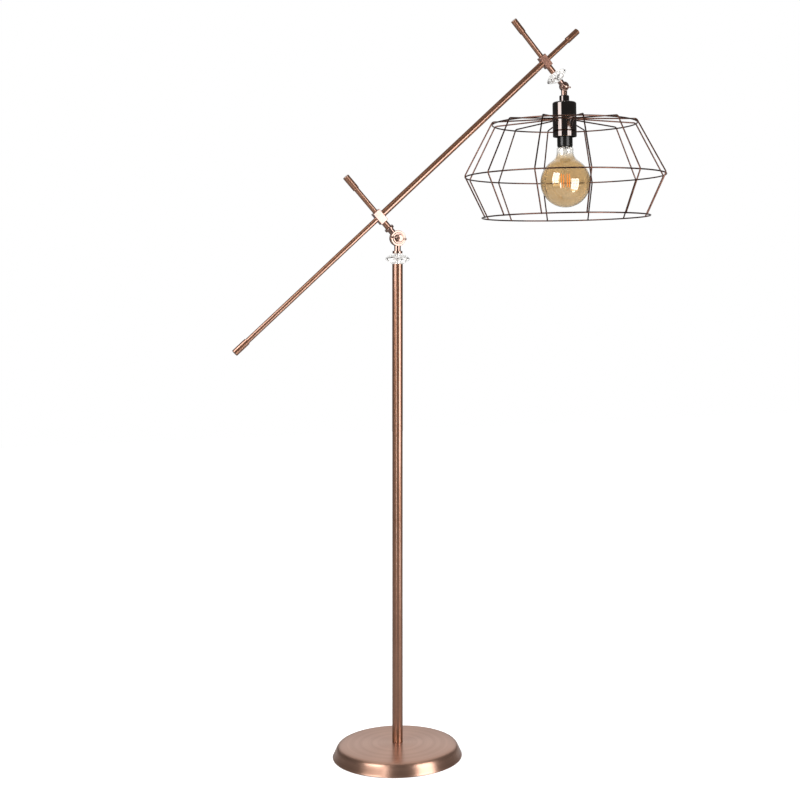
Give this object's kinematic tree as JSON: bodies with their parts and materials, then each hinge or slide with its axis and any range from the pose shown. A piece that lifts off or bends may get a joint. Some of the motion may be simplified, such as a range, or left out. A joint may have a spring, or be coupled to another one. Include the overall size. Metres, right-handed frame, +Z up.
{
  "type": "floor lamp",
  "caption": "Floor lamp: a heavy dome base and plain pole carry a tilting cross of rods on a knuckle, which holds a wire cage shade with a globe bulb.",
  "frame": {"origin": "on the floor at the pole's axis, the centre of the round base's felt pad", "axes": "+Z up along the pole; +X the way the arm reaches, with the shade on the +X side; +Y to the back, away from the knuckles' lock screws"},
  "size_m": [1.0913, 0.5034, 1.7613],
  "materials": {
    "copper_satin": "antique copper plate, satin brushed and lacquered",
    "copper_base": "spun antique copper plate, brushed in circles and lacquered",
    "copper_wire": "dark antique copper plate on round wire, satin",
    "bronze_gloss": "dark bronze plate, polished and lacquered",
    "black_plastic": "black moulded thermoset, slightly glossy",
    "brass": "plain brass",
    "zinc_steel": "zinc plated steel",
    "cast_iron": "sand cast, black paint",
    "felt": "black felt",
    "rubber": "black rubber",
    "fibre": "brown vulcanised fibre",
    "crystal": "clear cut crystal, polished facets",
    "amber_glass": "clear amber tinted glass",
    "stem_glass": "clear glass",
    "bulb_cap_metal": "bright rolled screw cap",
    "filament": "orange phosphor coating"
  },
  "bodies": {
    "stand": {"base_cover": "copper_base", "base_weight": "cast_iron", "base_pad": "felt", "base_washer": "zinc_steel", "base_nut": "zinc_steel", "stand_nipples": "zinc_steel", "cord_grommet": "rubber", "pole_lower": "copper_satin", "pole_upper": "copper_satin", "pole_coupling": "zinc_steel", "pole_plugs": "zinc_steel", "lower_crystal": "crystal", "lower_knuckle_ear": "copper_satin", "lower_friction_washer": "fibre", "lower_lock_cup": "copper_satin"},
    "lower_lock": {"lower_lock_screw": "copper_satin", "lower_lock_bar": "copper_satin"},
    "arm": {"mast_ear": "copper_satin", "mast_sleeve": "copper_satin", "lower_cross_block": "copper_satin", "upper_cross_block": "copper_satin", "mast_rod": "copper_satin", "mast_cap": "copper_satin", "head_post_rod": "copper_satin", "head_post_cap": "copper_satin", "arm_tail_rod": "copper_satin", "arm_tail_cap": "copper_satin", "arm_tip_rod": "copper_satin", "arm_tip_cap": "copper_satin", "arm_tube": "copper_satin", "arm_tube_plugs": "zinc_steel", "head_sleeve": "copper_satin", "cross_studs": "zinc_steel", "grub_screws": "zinc_steel", "upper_knuckle_ear": "copper_satin", "upper_friction_washer": "fibre", "upper_lock_cup": "copper_satin", "upper_crystal": "crystal", "upper_nipple": "zinc_steel"},
    "upper_lock": {"upper_lock_screw": "copper_satin", "upper_lock_bar": "copper_satin"},
    "head": {"head_ear": "copper_satin", "head_nipple": "zinc_steel", "holder_collar": "bronze_gloss", "holder_cup": "bronze_gloss", "holder_nut": "zinc_steel", "lampholder": "black_plastic", "screw_shell": "brass", "centre_contact": "brass", "cage_ribs": "copper_wire", "cage_hub": "copper_wire", "cage_ring_top": "copper_wire", "cage_ring_mid": "copper_wire", "cage_ring_bottom": "copper_wire"},
    "bulb": {"bulb_glass": "amber_glass", "bulb_cap": "bulb_cap_metal", "bulb_stem": "stem_glass", "bulb_filaments": "filament", "bulb_wires": "zinc_steel"}
  },
  "joints": [
    {"name": "arm_tilt", "type": "hinge", "parent": "stand", "child": "arm", "pos_m": [0, 0, 1.2175], "axis": [0, 1, 0], "range_deg": [-45, 45]},
    {"name": "lower_lock_turn", "type": "hinge", "parent": "stand", "child": "lower_lock", "pos_m": [0, 0, 1.2175], "axis": [0, 1, 0], "range_deg": [-180, 0]},
    {"name": "head_tilt", "type": "hinge", "parent": "arm", "child": "head", "pos_m": [0.44221, 0, 1.60298], "axis": [0, 1, 0], "range_deg": [-90, 3]},
    {"name": "upper_lock_turn", "type": "hinge", "parent": "arm", "child": "upper_lock", "pos_m": [0.44221, 0, 1.60298], "axis": [0, 1, 0], "range_deg": [-180, 0]},
    {"name": "bulb_turn", "type": "hinge", "parent": "head", "child": "bulb", "pos_m": [0.44639, 0, 1.36301], "axis": [-0.0175, 0, 0.9998], "range_deg": [-1080, 0]}
  ]
}
